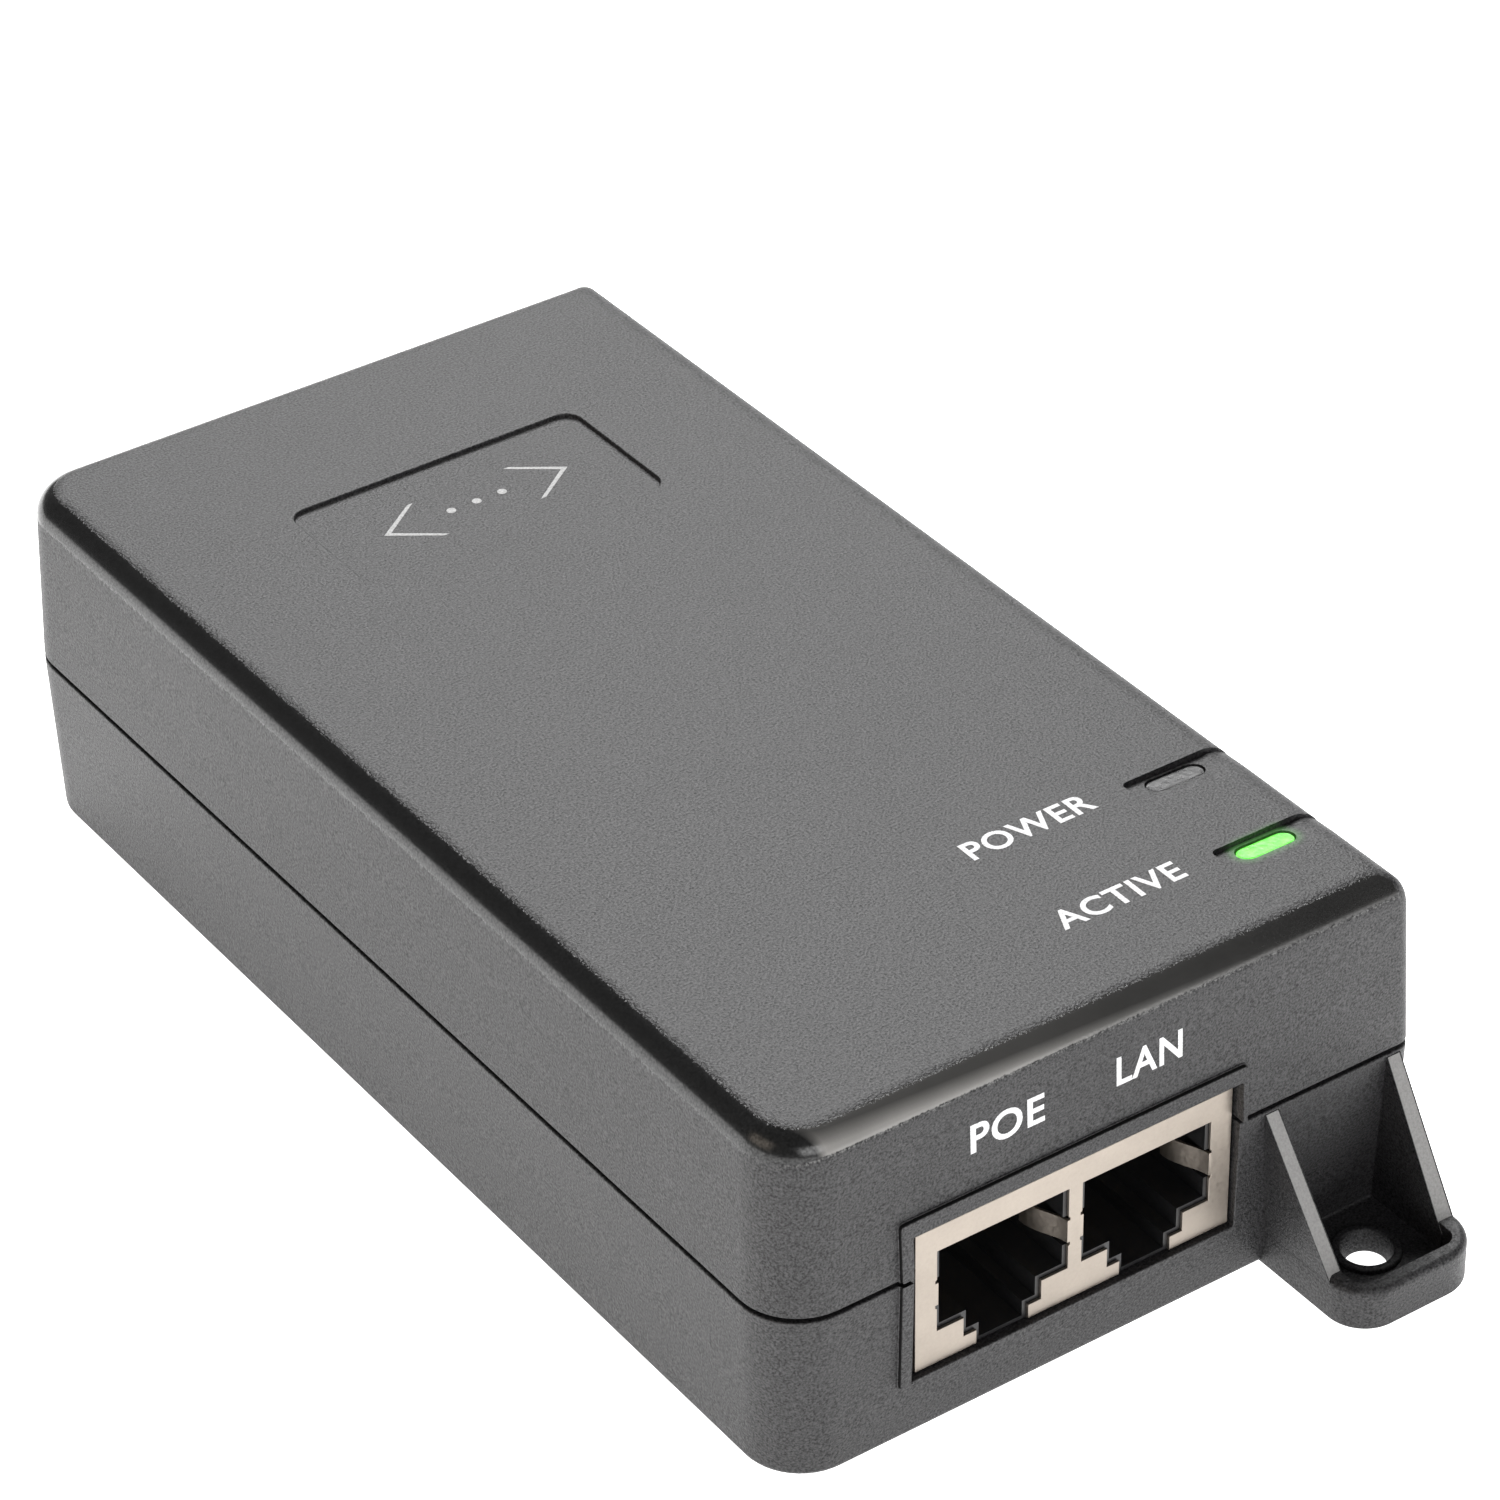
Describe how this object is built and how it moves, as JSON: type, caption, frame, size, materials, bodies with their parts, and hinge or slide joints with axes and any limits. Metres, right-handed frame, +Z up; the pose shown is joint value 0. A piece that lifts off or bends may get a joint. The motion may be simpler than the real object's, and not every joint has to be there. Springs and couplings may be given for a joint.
{
  "type": "poe injector",
  "caption": "Wall-mount power over ethernet injector: two-part plastic case with screw ears, shielded RJ45 ports in front, mains inlet behind.",
  "frame": {"origin": "middle of the bounding box in plan, on the underside", "axes": "+Z up, -Y towards the RJ45 ports, +Y towards the mains inlet, +X the side of the screw ears"},
  "size_m": [0.0618, 0.1392, 0.0328],
  "materials": {
    "case_plastic": "black moulded plastic with a fine spark-eroded grain",
    "black_plastic": "plain black moulded plastic",
    "screw_steel": "zinc plated",
    "label_film": "blank silver polyester film",
    "light_pipe_unlit": "satin clear plastic, unlit",
    "light_pipe_lit": "lit green",
    "led_package": "white package",
    "nickel_sheet": "warm nickel plated sheet",
    "nickel_pin": "nickel plated brass",
    "gold_contact": "gold plated phosphor bronze",
    "board_green": "green solder mask",
    "insulating_film": "translucent white film",
    "fuse_glass": "ceramic tube with end caps",
    "capacitor_yellow": "yellow box",
    "ferrite": "dark grey ferrite",
    "copper_wire": "enamelled copper wire",
    "capacitor_sleeve": "dark shrink sleeve",
    "aluminium_sheet": "bent sheet",
    "winding_tape": "yellow polyester tape",
    "capacitor_blue": "blue coated disc"
  },
  "bodies": {
    "case": {"top_cover": "case_plastic", "bottom_case": "case_plastic", "case_screw_1": "screw_steel", "case_screw_2": "screw_steel", "case_screw_3": "screw_steel", "case_screw_4": "screw_steel", "rating_label": "label_film", "power_light_pipe": "light_pipe_unlit", "power_led": "led_package", "active_light_pipe": "light_pipe_lit", "active_led": "led_package", "jack_shield": "nickel_sheet", "jack_housing": "black_plastic", "poe_contact_carrier": "black_plastic", "lan_contact_carrier": "black_plastic", "inlet_body": "black_plastic", "inlet_pin_line": "nickel_pin", "inlet_pin_neutral": "nickel_pin", "inlet_pin_earth": "nickel_pin", "main_pcb": "board_green", "insulation_sheet": "insulating_film", "fuse": "fuse_glass", "x_capacitor": "capacitor_yellow", "choke_core": "ferrite", "choke_winding_line": "copper_wire", "choke_winding_neutral": "copper_wire", "bridge_rectifier": "black_plastic", "bulk_capacitor": "capacitor_sleeve", "primary_heatsink": "aluminium_sheet", "switching_transistor": "black_plastic", "transformer_core": "ferrite", "transformer_bobbin": "black_plastic", "transformer_winding": "winding_tape", "y_capacitor": "capacitor_blue", "optocoupler": "black_plastic", "secondary_heatsink": "aluminium_sheet", "output_rectifier": "black_plastic", "output_choke": "ferrite", "output_capacitor_1": "capacitor_sleeve", "output_capacitor_2": "capacitor_sleeve", "poe_magnetics": "black_plastic", "lan_magnetics": "black_plastic", "poe_controller_chip": "black_plastic"},
    "poe_contacts": {"poe_contact_1": "gold_contact", "poe_contact_2": "gold_contact", "poe_contact_3": "gold_contact", "poe_contact_4": "gold_contact", "poe_contact_5": "gold_contact", "poe_contact_6": "gold_contact", "poe_contact_7": "gold_contact", "poe_contact_8": "gold_contact"},
    "lan_contacts": {"lan_contact_1": "gold_contact", "lan_contact_2": "gold_contact", "lan_contact_3": "gold_contact", "lan_contact_4": "gold_contact", "lan_contact_5": "gold_contact", "lan_contact_6": "gold_contact", "lan_contact_7": "gold_contact", "lan_contact_8": "gold_contact"}
  },
  "joints": [
    {"name": "poe_contact_flex", "type": "hinge", "parent": "case", "child": "poe_contacts", "pos_m": [-0.00944, -0.0545, 0.01675], "axis": [1, 0, 0], "range_deg": [0, 9], "stiffness_Nm_per_rad": 0.02},
    {"name": "lan_contact_flex", "type": "hinge", "parent": "case", "child": "lan_contacts", "pos_m": [0.00453, -0.0545, 0.01675], "axis": [1, 0, 0], "range_deg": [0, 9], "stiffness_Nm_per_rad": 0.02}
  ]
}
